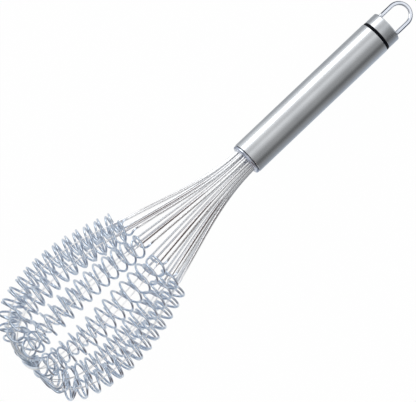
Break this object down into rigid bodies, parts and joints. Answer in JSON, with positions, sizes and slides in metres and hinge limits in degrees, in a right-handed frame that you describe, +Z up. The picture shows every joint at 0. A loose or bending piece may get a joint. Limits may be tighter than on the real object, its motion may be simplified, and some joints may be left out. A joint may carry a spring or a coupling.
{
  "type": "coil whisk",
  "caption": "Hand whisk with a balloon of steel wire loops, each wound with an open coil spring, on a brushed tube handle with a hanging loop.",
  "frame": {"origin": "centre of the box's bottom, on the table that the whisk lies on", "axes": "the whisk lies along X with its handle towards +X, its axis falling 8.0 degrees towards the handle's end; +Z is up from the table"},
  "size_m": [0.2822, 0.0796, 0.0799],
  "materials": {
    "brushed_tube": "fine brushing along the tube",
    "brushed_cap": "turned and satin brushed",
    "polished_plug": "polished stainless steel",
    "loop_wire": "drawn and polished stainless wire",
    "spring_wire": "drawn and tumbled stainless wire",
    "hanger_wire": "polished stainless wire",
    "gasket": "matt black",
    "anchor_resin": "cast resin"
  },
  "bodies": {
    "root": {"coil_spring_1": "spring_wire", "coil_spring_2": "spring_wire", "coil_spring_3": "spring_wire", "coil_spring_4": "spring_wire", "coil_spring_5": "spring_wire", "coil_spring_6": "spring_wire", "front_plug": "polished_plug", "gasket_ring": "gasket", "handle_tube": "brushed_tube", "hanging_loop": "hanger_wire", "loop_wire_1": "loop_wire", "loop_wire_2": "loop_wire", "loop_wire_3": "loop_wire", "loop_wire_4": "loop_wire", "loop_wire_5": "loop_wire", "loop_wire_6": "loop_wire", "rear_cap": "brushed_cap", "wire_anchor": "anchor_resin"}
  },
  "joints": []
}
